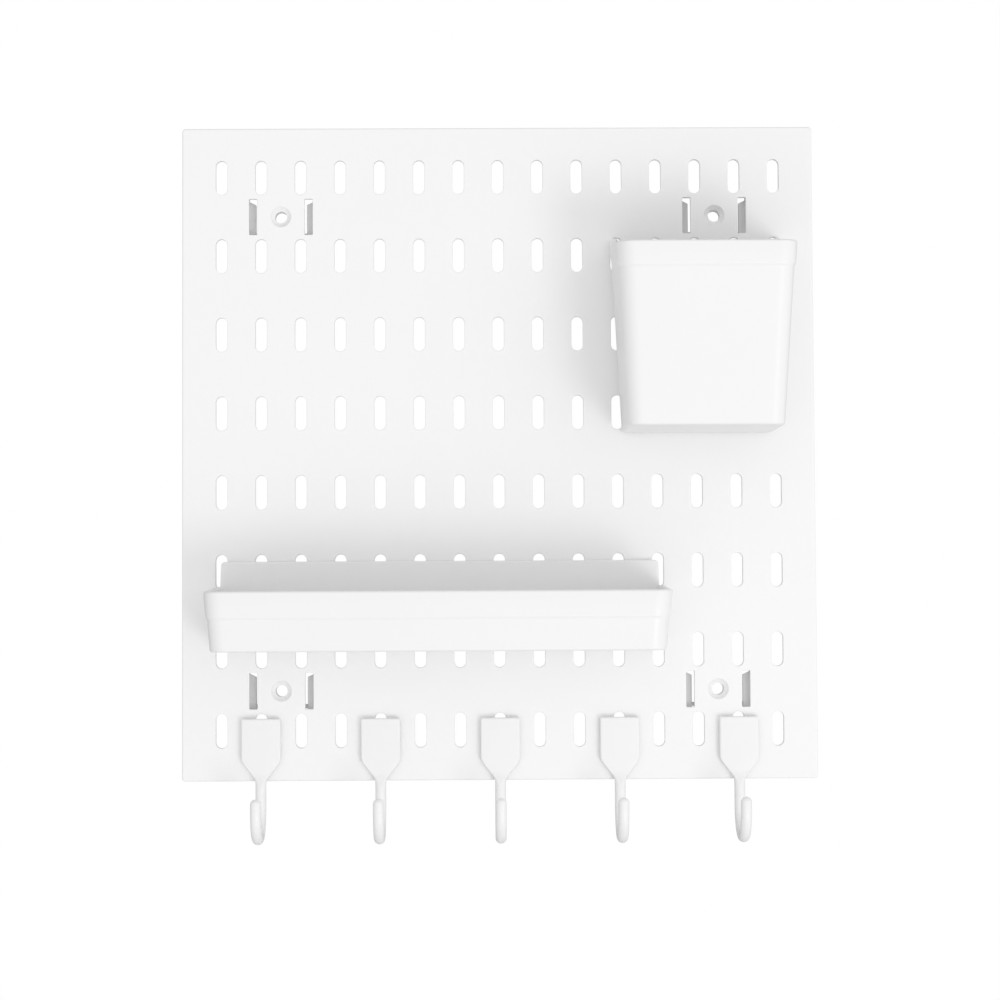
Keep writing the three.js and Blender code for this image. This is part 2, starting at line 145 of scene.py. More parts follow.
class Shell:
    """Rings of points and the faces between them. A point's edge weight is 1 on a rounded edge; it
    drives a painted highlight in colour and a lower roughness.
    """

    def __init__(self):
        self.points = []
        self.highlight_and_polish = []
        self.faces = []
        self.flat = set()

    def ring(self, points, highlight_and_polish=0.0):
        start = len(self.points)
        self.points += [tuple(p) for p in points]
        self.highlight_and_polish += [highlight_and_polish] * len(points)
        return list(range(start, len(self.points)))

    def bridge(self, first, second):
        count = len(first)
        for i in range(count):
            j = (i + 1) % count
            self.faces.append((first[i], first[j], second[j], second[i]))

    def stack(self, rings):
        """Bridges a list of (points, edge highlight and polish weight), and returns the first and
        last rings' indices.
        """
        made = [self.ring(points, highlight_and_polish) for points, highlight_and_polish in rings]
        for lower, upper in zip(made, made[1:]):
            self.bridge(lower, upper)
        return made[0], made[-1]

    def cap(self, ring):
        self.flat.add(len(self.faces))
        self.faces.append(tuple(ring))

    def fill(self, outer, holes, axes):
        """Fills the flat region between an outer ring and convex holes in it."""
        rings = [outer, *holes]
        flat_index = [i for ring in rings for i in ring]
        owner = [k for k, ring in enumerate(rings) for _ in ring]
        plane = [Vector((self.points[i][axes[0]], self.points[i][axes[1]])) for i in flat_index]
        edges = []
        start = 0
        for ring in rings:
            count = len(ring)
            edges += [(start + i, start + (i + 1) % count) for i in range(count)]
            start += count
        result = delaunay_2d_cdt(plane, edges, [], 0, 1e-6, True)
        triangles, sources = result[2], result[3]
        for triangle in triangles:
            ids = [sources[v][0] for v in triangle]
            owners = {owner[i] for i in ids}
            if len(owners) == 1 and owners != {0}:
                continue
            self.flat.add(len(self.faces))
            self.faces.append(tuple(flat_index[i] for i in ids))

    def object(self, name, material):
        mesh = bpy.data.meshes.new(name)
        mesh.from_pydata([tuple(c * MM for c in p) for p in self.points], [], self.faces)
        # the rounded-edge weight: a painted highlight in the colour, and polish in the roughness
        highlight_and_polish = mesh.attributes.new("edge_highlight_and_polish", "FLOAT", "POINT")
        highlight_and_polish.data.foreach_set("value", self.highlight_and_polish)
        for index, polygon in enumerate(mesh.polygons):
            polygon.use_smooth = index not in self.flat
        mesh.materials.append(material)
        edit = bmesh.new()
        edit.from_mesh(mesh)
        bmesh.ops.recalc_face_normals(edit, faces=edit.faces)
        edit.to_mesh(mesh)
        edit.free()
        thing = bpy.data.objects.new(name, mesh)
        bpy.context.scene.collection.objects.link(thing)
        return thing


def arc(cx, cz, radius, start, end, steps):
    angles = [start + (end - start) * i / steps for i in range(steps + 1)]
    return [(cx + radius * math.cos(a), cz + radius * math.sin(a)) for a in angles]


def stadium(cx, cz, width, height, grow=0.0, steps=16):
    """A vertical slot's outline, counter-clockwise, grown by grow."""
    radius = width / 2
    straight = height / 2 - radius
    top = arc(cx, cz + straight, radius + grow, 0, math.pi, steps)
    bottom = arc(cx, cz - straight, radius + grow, math.pi, 2 * math.pi, steps)
    return top + bottom


def rounded_box(cx, cz, width, height, radius, grow=0.0, steps=5, least=0.15):
    """A rounded rectangle's outline, counter-clockwise, grown by grow."""
    corner = max(radius + grow, least)
    half_w = width / 2 + grow - corner
    half_h = height / 2 + grow - corner
    points = []
    for k, (sx, sz) in enumerate(((1, 1), (-1, 1), (-1, -1), (1, -1))):
        start = k * QUARTER
        points += arc(cx + sx * half_w, cz + sz * half_h, corner, start, start + QUARTER, steps)
    return points


def outline(corners, radius, grow=0.0, steps=4):
    """A polygon (counter-clockwise) with every corner rounded, grown by grow."""
    count = len(corners)
    points = []
    for i in range(count):
        before, here, after = (Vector(corners[(i + k) % count]) for k in (-1, 0, 1))
        into = (here - before).normalized()
        out = (after - here).normalized()
        normal_in = Vector((into.y, -into.x))
        normal_out = Vector((out.y, -out.x))
        turn = into.x * out.y - into.y * out.x
        bisector = (normal_in + normal_out) / (1 + normal_in.dot(normal_out))
        corner = here + bisector * grow
        side = 1 if turn > 0 else -1
        r = max(radius + side * grow, 0.04)
        centre = corner - bisector * side * r
        start = math.atan2(side * normal_in.y, side * normal_in.x)
        sweep = math.asin(max(-1, min(1, turn)))
        if normal_in.dot(normal_out) < 0:
            sweep = math.copysign(math.pi, turn) - sweep
        for k in range(steps + 1):
            angle = start + sweep * k / steps
            points.append((centre.x + r * math.cos(angle), centre.y + r * math.sin(angle)))
    return points


def fillet(radius, steps):
    """(inset, depth, edge highlight and polish weight) from a flat face round its rounded edge to
    the wall beside it.
    """
    found = []
    for i in range(steps + 1):
        angle = QUARTER * i / steps
        inset = radius * (1 - math.sin(angle))
        depth = radius * (1 - math.cos(angle))
        found.append((inset, depth, math.sin(2 * angle)))
    return found


def prism(shell, shape, low, high, radius, place, steps=3):
    """A solid between two flat ends, with its end edges rounded. shape(grow) is its outline."""
    start = [(shape(-inset), low + depth, highlight_and_polish) for inset, depth, highlight_and_polish in fillet(radius, steps)]
    end = [(shape(-inset), high - depth, highlight_and_polish) for inset, depth, highlight_and_polish in fillet(radius, steps)]
    rings = start + end[::-1]
    first, last = shell.stack(
        [([place(u, v, w) for u, v in points], highlight_and_polish) for points, w, highlight_and_polish in rings]
    )
    shell.cap(first[::-1])
    shell.cap(last)


def forwards(u, v, w):
    """Outlines in (x, z), pushed along y."""
    return (u, w, v)


def sideways(u, v, w):
    """Outlines in (y, z), pushed along x."""
    return (w, u, v)


def smooth(t):
    """An eased step from 0 to 1."""
    t = max(0.0, min(1.0, t))
    return t * t * (3 - 2 * t)


def set_down(thing, body, slot, *nodes):
    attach(thing, body)
    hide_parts(*nodes)
    return thing


# ---- materials ----


class Nodes:
    """A short way to write a material's node tree."""

    def __init__(self, name):
        self.material = bpy.data.materials.new(name)
        self.material.use_nodes = True
        self.tree = self.material.node_tree
        self.shader = self.tree.nodes["Principled BSDF"]

    def add(self, kind, inputs=None, **settings):
        node = self.tree.nodes.new(kind)
        for key, value in settings.items():
            setattr(node, key, value)
        for key, value in (inputs or {}).items():
            if isinstance(value, bpy.types.NodeSocket):
                self.tree.links.new(value, node.inputs[key])
            else:
                node.inputs[key].default_value = value
        return node

    def link(self, output, socket):
        self.tree.links.new(output, self.shader.inputs[socket])

    def noise(self, vector, scale, detail=2.0, roughness=0.5):
        node = self.add(
            "ShaderNodeTexNoise",
            {"Vector": vector, "Scale": scale, "Detail": detail, "Roughness": roughness},
        )
        return node.outputs["Fac"]

    def between(self, value, low, high, from_low=0.0, from_high=1.0):
        node = self.add(
            "ShaderNodeMapRange",
            {
                "Value": value,
                "From Min": from_low,
                "From Max": from_high,
                "To Min": low,
                "To Max": high,
            },
        )
        return node.outputs["Result"]


def mix_colours(nodes, factor, first, second):
    node = nodes.tree.nodes.new("ShaderNodeMix")
    node.data_type = "RGBA"
    nodes.tree.links.new(factor, node.inputs[0])
    for socket, value in ((node.inputs[6], first), (node.inputs[7], second)):
        if isinstance(value, bpy.types.NodeSocket):
            nodes.tree.links.new(value, socket)
        else:
            socket.default_value = (*value, 1.0)
    return node.outputs[2]


def moulded_plastic(name, colour, shade, edge, roughness, grain):
    """Satin moulded plastic: faint flow shading, a fine moulded grain, and rounded edges that are
    polished in roughness and lightened in colour as a painted highlight.
    """
    nodes = Nodes(name)
    place = nodes.add("ShaderNodeTexCoord").outputs["Object"]
    cloud = nodes.noise(place, 14.0, 3.0)
    speck = nodes.noise(place, 900.0, 2.0)
    fine = nodes.noise(place, 2600.0, 3.0, 0.6)
    swell = nodes.noise(place, 45.0, 1.0)
    highlight_and_polish = nodes.add("ShaderNodeAttribute", attribute_name="edge_highlight_and_polish").outputs["Fac"]
    base = mix_colours(nodes, nodes.between(cloud, 0.0, 1.0, 0.3, 0.7), colour, shade)
    base = mix_colours(nodes, nodes.between(speck, 0.0, 0.35, 0.45, 0.75), base, shade)
    # painted highlight: the rounded edges are lightened towards the edge colour, broken up by the
    # speck noise
    painted_edge_highlight = nodes.add(
        "ShaderNodeMath",
        {0: highlight_and_polish, 1: nodes.between(speck, 0.25, 0.8)},
        operation="MULTIPLY",
    ).outputs[0]
    base = mix_colours(nodes, painted_edge_highlight, base, edge)
    nodes.link(base, "Base Color")
    rough = nodes.between(speck, roughness - 0.05, roughness + 0.06, 0.3, 0.7)
    polished = nodes.add(
        "ShaderNodeMath", {0: highlight_and_polish, 1: -0.08, 2: rough}, operation="MULTIPLY_ADD"
    ).outputs[0]
    nodes.link(polished, "Roughness")
    coarse = nodes.add(
        "ShaderNodeBump", {"Height": swell, "Strength": 0.12, "Distance": 0.0004}
    ).outputs["Normal"]
    bump = nodes.add(
        "ShaderNodeBump",
        {"Height": fine, "Strength": grain, "Distance": 0.00006, "Normal": coarse},
    )
    nodes.link(bump.outputs["Normal"], "Normal")
    nodes.shader.inputs["IOR"].default_value = 1.5
    return nodes.material


def foam(name, colour, shade):
    """Closed-cell foam tape: small pits, darkened in colour as painted shade, and a matt surface.
    """
    nodes = Nodes(name)
    place = nodes.add("ShaderNodeTexCoord").outputs["Object"]
    cells = nodes.add(
        "ShaderNodeTexVoronoi", {"Vector": place, "Scale": 2400.0}
    ).outputs["Distance"]
    cloud = nodes.noise(place, 120.0, 3.0)
    base = mix_colours(nodes, nodes.between(cloud, 0.0, 1.0, 0.3, 0.7), colour, shade)
    # painted shade: the colour darkens towards each pit's centre, where the bump sinks
    painted_pit_shade = mix_colours(nodes, nodes.between(cells, 0.5, 0.0, 0.0, 0.35), base, shade)
    nodes.link(painted_pit_shade, "Base Color")
    nodes.link(nodes.between(cells, 0.95, 0.75), "Roughness")
    bump = nodes.add("ShaderNodeBump", {"Height": cells, "Strength": 0.6, "Distance": 0.0002})
    nodes.link(bump.outputs["Normal"], "Normal")
    return nodes.material


def plain_surface(name, colour):
    """The floor's pale paint, with a little mottling."""
    nodes = Nodes(name)
    place = nodes.add("ShaderNodeTexCoord").outputs["Object"]
    cloud = nodes.noise(place, 3.0, 4.0)
    shade = tuple(c * 0.97 for c in colour)
    nodes.link(mix_colours(nodes, cloud, colour, shade), "Base Color")
    nodes.link(nodes.between(cloud, 0.7, 0.85), "Roughness")
    return nodes.material


# each edge colour is a painted highlight laid on the rounded edges
PANEL_PLASTIC = moulded_plastic(
    "panel_plastic",
    colour=(0.890, 0.890, 0.888),
    shade=(0.878, 0.879, 0.878),
    edge=(0.905, 0.905, 0.903),
    roughness=0.42,
    grain=0.35,
)
ACCESSORY_PLASTIC = moulded_plastic(
    "accessory_plastic",
    colour=(0.862, 0.862, 0.860),
    shade=(0.852, 0.853, 0.852),
    edge=(0.880, 0.880, 0.878),
    roughness=0.38,
    grain=0.25,
)
CLIP_PLASTIC = moulded_plastic(
    "clip_plastic",
    colour=(0.80, 0.80, 0.80),
    shade=(0.78, 0.78, 0.78),
    edge=(0.83, 0.83, 0.83),
    roughness=0.5,
    grain=0.4,
)
FOAM_TAPE = foam("foam_tape", (0.80, 0.79, 0.75), (0.72, 0.71, 0.66))


# ---- panel ----

FACE_FILLET = 0.35
OUTER_FILLET = 0.8
BACK_FILLET = 0.25


def through_hole(shell, shape):
    """A hole's wall from front to back with rounded edges. Returns its front and back rings."""
    front = [
        (shape(inset), FACE_FRONT + depth, highlight_and_polish) for inset, depth, highlight_and_polish in fillet(FACE_FILLET, 4)
    ]
    back = [
        (shape(inset), FACE_BACK - depth, highlight_and_polish) for inset, depth, highlight_and_polish in fillet(BACK_FILLET, 2)
    ]
    rings = front + back[::-1]
    return shell.stack(
        [([forwards(u, v, y) for u, v in points], highlight_and_polish) for points, y, highlight_and_polish in rings]
    )


def screw_hole(shell, cx, cz):
    """The countersunk hole and the boss behind it."""
    profile = [(COUNTERSINK_RADIUS + i, FACE_FRONT + d, w) for i, d, w in fillet(0.25, 3)]
    profile += [
        (SCREW_RADIUS + 0.12, FACE_FRONT + COUNTERSINK_DEPTH, 0.3),
        (SCREW_RADIUS, FACE_FRONT + COUNTERSINK_DEPTH + 0.15, 0.0),
        (SCREW_RADIUS, BOSS_BACK - 0.2, 0.0),
        (SCREW_RADIUS + 0.06, BOSS_BACK - 0.06, 0.6),
        (SCREW_RADIUS + 0.2, BOSS_BACK, 0.0),
    ]
    profile += [(BOSS_RADIUS - i, BOSS_BACK - d, w) for i, d, w in fillet(0.3, 3)]
    profile += [
        (BOSS_RADIUS, FACE_BACK + 0.6, 0.0),
        (BOSS_RADIUS + 0.18, FACE_BACK + 0.18, 0.0),
        (BOSS_RADIUS + 0.6, FACE_BACK, 0.0),
    ]
    return shell.stack(
        [
            ([forwards(u, v, y) for u, v in arc(cx, cz, r, 0, 2 * math.pi, 40)[:-1]], highlight_and_polish)
            for r, y, highlight_and_polish in profile
        ]
    )


def panel_outside(shell):
    """The edge, the rim's back and the rim's inner wall. Returns the two flat faces' borders."""

    def shape(grow):
        return rounded_box(0, 0, PANEL_WIDTH, PANEL_HEIGHT, 1.5, grow, 6)

    rings = [(shape(-i), FACE_FRONT + d, w) for i, d, w in fillet(OUTER_FILLET, 5)]
    rings += [(shape(-i), RIM_BACK - d, w) for i, d, w in fillet(0.4, 3)[::-1]]
    inner = [(RIM_THICKNESS - i, RIM_BACK - d, w) for i, d, w in fillet(0.35, 3)]
    rings += [(shape(-inset), y, w) for inset, y, w in inner]
    rings += [
        (shape(-RIM_THICKNESS), FACE_BACK + 0.7, 0.0),
        (shape(-RIM_THICKNESS - 0.2), FACE_BACK + 0.2, 0.0),
        (shape(-RIM_THICKNESS - 0.7), FACE_BACK, 0.0),
    ]
    return shell.stack(
        [([forwards(u, v, y) for u, v in points], highlight_and_polish) for points, y, highlight_and_polish in rings]
    )


def panel_ribs(shell):
    middle = (FACE_BACK - OVERLAP + FACE_BACK + RIB_DEPTH) / 2
    depth = RIB_DEPTH + OVERLAP
    half = PANEL_WIDTH / 2 - RIM_THICKNESS / 2
    for row in range(2, ROWS - 1):
        z = row_z(row) + RIB_ABOVE_ROW
        prism(
            shell,
            lambda grow, z=z: rounded_box(middle, z, depth, RIB_THICKNESS, 0.3, grow, 3),
            -half,
            half,
            0.05,
            sideways,
            1,
        )


def panel_catches(shell):
    """The hooked shelves that hang on the wall clips' tongues."""
    for _, cx, cz in clip_places():
        low, high = cz + CATCH_SHELF_ABOVE, cz + CATCH_SHELF_ABOVE + CATCH_SHELF_HEIGHT
        lip_low = cz + CATCH_LIP_ABOVE
        lip_front, lip_back = CATCH_LIP_Y
        corners = [
            (FACE_BACK - OVERLAP, low),
            (lip_front, low),
            (lip_front, lip_low),
            (lip_back, lip_low),
            (lip_back, high),
            (FACE_BACK - OVERLAP, high),
        ]
        for side in (-1, 1):
            ends = sorted(cx + side * offset for offset in CATCH_SPAN)
            prism(
                shell,
                lambda grow: outline(corners, 0.25, grow, 3),
                *ends,
                0.2,
                sideways,
                2,
            )


def build_panel():
    shell = Shell()
    border_front, border_back = panel_outside(shell)
    holes = []
    for row in range(ROWS):
        for column in range(COLUMNS):
            x, z = column_x(column), row_z(row)
            holes.append(
                through_hole(
                    shell, lambda grow: stadium(x, z, SLOT_WIDTH, SLOT_HEIGHT, grow, 14)
                )
            )
    for _, cx, cz in clip_places():
        for side in (-1, 1):
            x = cx + side * WINDOW_OFFSET
            holes.append(
                through_hole(
                    shell,
                    lambda grow: rounded_box(x, cz, WINDOW_WIDTH, WINDOW_HEIGHT, 0.4, grow, 3),
                )
            )
        holes.append(screw_hole(shell, cx, cz))
    shell.fill(border_front, [front for front, _ in holes], (0, 2))
    shell.fill(border_back, [back for _, back in holes], (0, 2))
    panel_ribs(shell)
    panel_catches(shell)
    panel = shell.object("panel_moulding", PANEL_PLASTIC)
    set_down(panel, "panel", "white_plastic", "pegboard_panel")


# ---- wall clips and tape ----


def clip_comb(cx, cz, grow):
    """The comb outline of a clip's base, or of its tape when grow is negative."""
    half, low, high = CLIP_HALF_WIDTH + grow, CLIP_LOW - grow, CLIP_HIGH + grow
    out, inn, foot = NOTCH_OUT - grow, NOTCH_IN + grow, NOTCH_LOW + grow
    right = [(inn, high), (inn, foot), (out, foot), (out, high), (half, high)]
    left = [(-x, z) for x, z in right]
    corners = [(-half, low), (half, low), *right[::-1], *left]
    return [(cx + x, cz + z) for x, z in corners]


def comb_plate(shell, cx, cz, grow, back, front, radius):
    """A comb-shaped plate with a round hole, its edges rounded."""
    corners = clip_comb(cx, cz, grow)
    hole_radius = CLIP_HOLE_RADIUS - grow
    outer_rings, hole_rings = [], []
    profile = [(i, front + d, w) for i, d, w in fillet(radius, 2)]
    profile += [(i, back - d, w) for i, d, w in fillet(radius, 2)[::-1]]
    for inset, y, highlight_and_polish in profile:
        points = outline(corners, 0.6, -inset, 3)
        outer_rings.append(([forwards(u, v, y) for u, v in points], highlight_and_polish))
        circle = arc(cx, cz, hole_radius + inset, 0, 2 * math.pi, 36)[:-1]
        hole_rings.append(([forwards(u, v, y) for u, v in circle], highlight_and_polish))
    outer = shell.stack(outer_rings)
    hole = shell.stack(hole_rings)
    for k in (0, 1):
        fill_concave(shell, outer[k], hole[k])


def fill_concave(shell, outer, hole):
    """Fills between a comb-shaped outer ring and one round hole."""
    loops = [[Vector(shell.points[i]) for i in ring] for ring in (outer, hole)]
    index = [*outer, *hole]
    for triangle in tessellate_polygon(loops):
        shell.flat.add(len(shell.faces))
        shell.faces.append(tuple(index[i] for i in triangle))


def build_clips():
    for name, cx, cz in clip_places():
        low, high = node_box("wall_clip_" + name)
        base_back, base_front = high[1], high[1] - CLIP_BASE_THICKNESS
        tongue_front, tongue_back = low[1], low[1] + TONGUE_THICKNESS
        shell = Shell()
        comb_plate(shell, cx, cz, 0, base_back, base_front, 0.2)
        for side in (-1, 1):
            placed = [(cx + side * u, cz + v) for u, v in TONGUE_CORNERS]
            if side < 0:
                placed.reverse()
            prism(
                shell,
                lambda grow: outline(placed, 0.35, grow, 3),
                tongue_front,
                tongue_back,
                0.25,
                forwards,
            )
            web = rounded_box(cx + side * WEB_OFFSET, cz + WEB_MIDDLE, *WEB_SIZE, 0.3)
            add_web(shell, web, tongue_back - OVERLAP, base_front + OVERLAP)
        clip = shell.object("clip_" + name, CLIP_PLASTIC)
        set_down(clip, "wall_clips", "clip_plastic", "wall_clip_" + name)

        tape_low, tape_high = node_box("adhesive_tape_" + name)
        shell = Shell()
        comb_plate(shell, cx, cz, -TAPE_INSET, tape_high[1], tape_low[1], 0.15)
        tape = shell.object("tape_" + name, FOAM_TAPE)
        set_down(tape, "wall_clips", "foam_tape", "adhesive_tape_" + name)


def add_web(shell, points, low, high):
    """The upright between a clip's base and its tongue."""
    first, last = shell.stack(
        [([forwards(u, v, y) for u, v in points], 0.0) for y in (low, high)]
    )
    shell.cap(first[::-1])
    shell.cap(last)


# ---- pegs ----


def add_peg(shell, x, row):
    """A neck through the slot with a tail that hangs behind the face."""
    slot_end = row_z(row) - SLOT_HEIGHT / 2
    neck_low = slot_end + NECK_ABOVE_SLOT_END
    tail_back = TAIL_FRONT + TAIL_THICKNESS
    tail_low = slot_end - TAIL_BELOW_SLOT_END
    corners = [
        (HANG_Y - 0.8, neck_low),
        (TAIL_FRONT, neck_low),
        (TAIL_FRONT, tail_low),
        (tail_back, tail_low),
        (tail_back, neck_low + NECK_HEIGHT),
        (HANG_Y - 0.8, neck_low + NECK_HEIGHT),
    ]
    prism(
        shell,
        lambda grow: outline(corners, 0.5, grow, 4),
        x - PEG_WIDTH / 2,
        x + PEG_WIDTH / 2,
        0.45,
        sideways,
    )


# ---- cup and tray ----

WALL = 2.2
BAND_PROUD = 0.7
FRONT_CORNER = 7.0
BACK_CORNER = 3.0
SWEEP_BEND = 1 / 3
SWEEP_LIFT = 1.0
FOOT_RISE = 1.5


class Tub:
    """A drafted, open-topped box with a swept rim and a band round the rim.

    drafts are those of the sides and the front. The rim's heights are given at the shoulder,
    where the sweep down from the back ends, and at the front; the band's lower edge has the
    back's height before those two. widths are the raised back's, at its foot and its top. A
    saddle makes the rim rise to the back, and gives the height of the back's middle and the half
    widths between which it climbs to the corners. Without one the rim is level to the back.
    """

    def __init__(self, name, drafts, rim, band, sweep_depth, widths, saddle=None):
        low, high = node_box(name)
        self.side_draft, self.front_draft = drafts
        self.top = high[2]
        self.rim = (high[2] if saddle else rim[0], *rim)
        self.band = band
        self.centre = (low[0] + high[0]) / 2
        self.width = high[0] - low[0] - 2 * BAND_PROUD
        fall = self.front_draft * (self.top - self.rim[2])
        self.depth = HANG_Y - low[1] - BAND_PROUD + fall
        self.sweep_depth = sweep_depth
        self.foot_half, self.top_half = (width / 2 for width in widths)
        self.saddle = saddle

    def line(self, heights):
        """(y, z) along the side from the back to just past the front."""
        back, shoulder, front = heights
        y0 = HANG_Y - WALL
        ya, za = y0, back
        yb, zb = y0 - self.sweep_depth * SWEEP_BEND, min(back, shoulder + SWEEP_LIFT)
        yc, zc = y0 - self.sweep_depth, shoulder
        points = [(HANG_Y + 1, back)]
        for i in range(25):
            t = i / 24
            a, b, c = (1 - t) ** 2, 2 * t * (1 - t), t * t
            points.append((a * ya + b * yb + c * yc, a * za + b * zb + c * zc))
        points.append((HANG_Y - self.depth - 1, front))
        return points

    def height(self, line, x, y):
        """The height of a line at a place on the plan. x is measured from the centre."""
        z = line[-1][1] if y < line[-1][0] else line[0][1]
        for (ya, za), (yb, zb) in zip(line, line[1:]):
            if yb <= y <= ya:
                z = za + (zb - za) * (ya - y) / max(ya - yb, 1e-9)
                break
        if self.saddle and y > HANG_Y - WALL - 0.1:
            low, inner, outer = self.saddle
            z = min(z, low + (self.top - low) * smooth((abs(x) - inner) / (outer - inner)))
        return z

    def plan(self, grow, back_gap):
        """Points round the plan at the top of the back, counter-clockwise from above."""
        rise = self.top - self.rim[2]
        half = self.width / 2 + grow + self.side_draft * rise
        depth = self.depth + grow - back_gap
        front_r = FRONT_CORNER + grow
        back_r = max(BACK_CORNER + min(grow, 0), 0.4)
        low, high = -depth + front_r, -back_r
        fine = [high - 0.6 * i for i in range(1, 14)]
        rough = [fine[-1] + (low - fine[-1]) * i / 16 for i in range(1, 16)]
        side = [y for y in fine + rough if y > low + 0.3]
        ease = 1.2
        turns = [share * half for share in (0.5, 0, -0.5)]
        crest = turns
        if self.saddle:
            inner = self.saddle[1]
            reach = half - back_r - ease - inner
            slope = [inner + reach * i / 12 for i in range(12)]
            crest = [*slope[::-1], *turns, *(-x for x in slope)]
        points = [(half - front_r - ease, -depth)]
        points += arc(half - front_r, -depth + front_r, front_r, -QUARTER, 0, 12)
        points += [(half, y) for y in sorted(side)]
        points += arc(half - back_r, -back_r, back_r, 0, QUARTER, 8)
        points += [(half - back_r - ease, 0.0)]
        points += [(x, 0.0) for x in crest]
        points += [(-half + back_r + ease, 0.0)]
        points += arc(-half + back_r, -back_r, back_r, QUARTER, 2 * QUARTER, 8)
        points += [(-half, y) for y in sorted(side, reverse=True)]
        points += arc(-half + front_r, -depth + front_r, front_r, math.pi, math.pi + QUARTER, 12)
        points += [(-half + front_r + ease, -depth)]
        points += [(-x, -depth) for x in turns]
        return points, half, depth

    def limit(self, z):
        """Half the width that the raised back may have at height z."""
        rim_half = self.width / 2 + BAND_PROUD
        foot_z = self.rim[1] + FOOT_RISE
        if z <= self.rim[1]:
            return rim_half
        if z <= foot_z:
            return rim_half + (self.foot_half - rim_half) * (z - self.rim[1]) / FOOT_RISE
        share = (z - foot_z) / (self.top - foot_z)
        return self.foot_half + (self.top_half - self.foot_half) * share

    def ring(self, grow, back_gap, heights=None, level=None, lift=0.0):
        """One ring of points. Its height follows a line along the side, or is level."""
        plan, half, depth = self.plan(grow, back_gap)
        line = self.line(heights) if heights else None
        points = []
        for px, py in plan:
            x, y, z = px, HANG_Y - back_gap + py, level
            for _ in range(3 if line else 1):
                if line:
                    z = self.height(line, x, y) + lift
                drop = self.top - z
                y = HANG_Y - back_gap + py * (1 - self.front_draft * drop / depth)
                x = px * (1 - self.side_draft * drop / half)
            bound = self.limit(z) - max(BAND_PROUD - grow, 0)
            points.append((self.centre + max(-bound, min(bound, x)), y, z))
        return points


BASE_FILLET = 1.1
LIP_OUTER = 1.2
LIP_INNER = 0.75
FLOOR_FILLET = 2.6
# (how far out, how far above the band's lower edge, edge highlight and polish weight)
BAND_STEP = (
    (0, -0.9, 0),
    (0.06, -0.6, 0.1),
    (0.25, -0.25, 0.4),
    (0.5, 0.15, 0.6),
    (0.65, 0.5, 0.5),
    (BAND_PROUD, 0.9, 0),
)


def tub_shell(tub, bottom):
    """The rings go up the outside, over the lip, down the inside and over the floor's edge."""
    rings = []
    for inset, depth, highlight_and_polish in fillet(BASE_FILLET, 5):
        rings.append((tub.ring(-inset, inset, level=bottom + depth), highlight_and_polish * 0.5))
    for grow, lift, highlight_and_polish in BAND_STEP:
        rings.append((tub.ring(grow, 0, tub.band, lift=lift), highlight_and_polish))
    for inset, depth, highlight_and_polish in fillet(LIP_OUTER, 5)[::-1]:
        rings.append((tub.ring(BAND_PROUD - inset, inset * 0.6, tub.rim, lift=-depth), highlight_and_polish))
    for inset, depth, highlight_and_polish in fillet(LIP_INNER, 4):
        rings.append((tub.ring(-WALL + inset, WALL - inset, tub.rim, lift=-depth), highlight_and_polish))
    floor = bottom + WALL
    rings.append((tub.ring(-WALL, WALL, level=floor + 3 * FLOOR_FILLET), 0))
    for i in range(7):
        angle = QUARTER * i / 6
        inset = FLOOR_FILLET * (1 - math.cos(angle))
        lift = FLOOR_FILLET * (1 - math.sin(angle))
        rings.append((tub.ring(-WALL - inset, WALL + inset, level=floor + lift), 0))
    shell = Shell()
    first, last = shell.stack(rings)
    shell.cap(first[::-1])
    shell.cap(last)
    return shell


def finish_tub(shell, name, body):
    thing = shell.object(name + "_moulding", ACCESSORY_PLASTIC)
    set_down(thing, body, "accessory_plastic", name)


CUP_SADDLE = (88.6, 29.3, 35.7)


def build_cup():
    tub = Tub(
        "pen_cup",
        drafts=(0.055, 0.12),
        rim=(86.0, 85.1),
        band=(88.2, 77.0, 74.4),
        sweep_depth=38,
        widths=(76.6, 75.8),
        saddle=CUP_SADDLE,
    )
    low, _ = node_box("pen_cup")
    shell = tub_shell(tub, low[2])
    for side in (-1, 1):
        add_peg(shell, tub.centre + side * 2 * PITCH_X, 1)
    finish_tub(shell, "pen_cup", "cup")


def build_tray():
    """The tray's raised back is a plate that stands on its back wall, narrower than the rim."""
    foot_half, top_half = 96.7, 96.2
    tub = Tub(
        "shelf_tray",
        drafts=(0.072, 0.075),
        rim=(-59.2, -61.4),
        band=(-71.9, -72.1, -72.8),
        sweep_depth=3,
        widths=(2 * foot_half, 2 * top_half),
    )
    low, high = node_box("shelf_tray")
    shell = tub_shell(tub, low[2])
    shoulder = tub.rim[1] - 1
    right = [(foot_half + 0.9, shoulder - 14), (foot_half + 0.9, shoulder - 1.2)]
    right += [(foot_half, shoulder), (top_half, high[2])]
    left = [(-x, z) for x, z in right]
    corners = [(tub.centre + x, z) for x, z in [*right, *left[::-1]]]
    prism(
        shell,
        lambda grow: outline(corners, 1.8, grow, 6),
        HANG_Y - WALL - 0.05,
        HANG_Y - 0.02,
        0.7,
        forwards,
        4,
    )
    for column in (1, 4, 7, 10):
        add_peg(shell, column_x(column), 5)
    finish_tub(shell, "shelf_tray", "tray")


# ---- hooks ----

PLATE_HALF = 8.6
PLATE_THICKNESS = 3.0
ROD_RADIUS = 2.35
HOOK_REACH = 25.0
PLATE_ABOVE_ROW = 5.4
HOOK_SHOULDER = 13.2
HOOK_TIP = 21.1
HOOK_BOTTOM = 48.2
TIP_ABOVE_BEND = 3.4


def section(half_w, half_t, corner, steps=8):
    """A rounded rectangle across the hook, with points held close to each corner."""
    corner = min(corner, half_w - 0.04, half_t - 0.04)
    points = []
    for k, (sx, sy) in enumerate(((1, 1), (-1, 1), (-1, -1), (1, -1))):
        start = k * QUARTER
        cx, cy = sx * (half_w - corner), sy * (half_t - corner)
        points += arc(cx, cy, corner, start, start + QUARTER, steps)
    return points


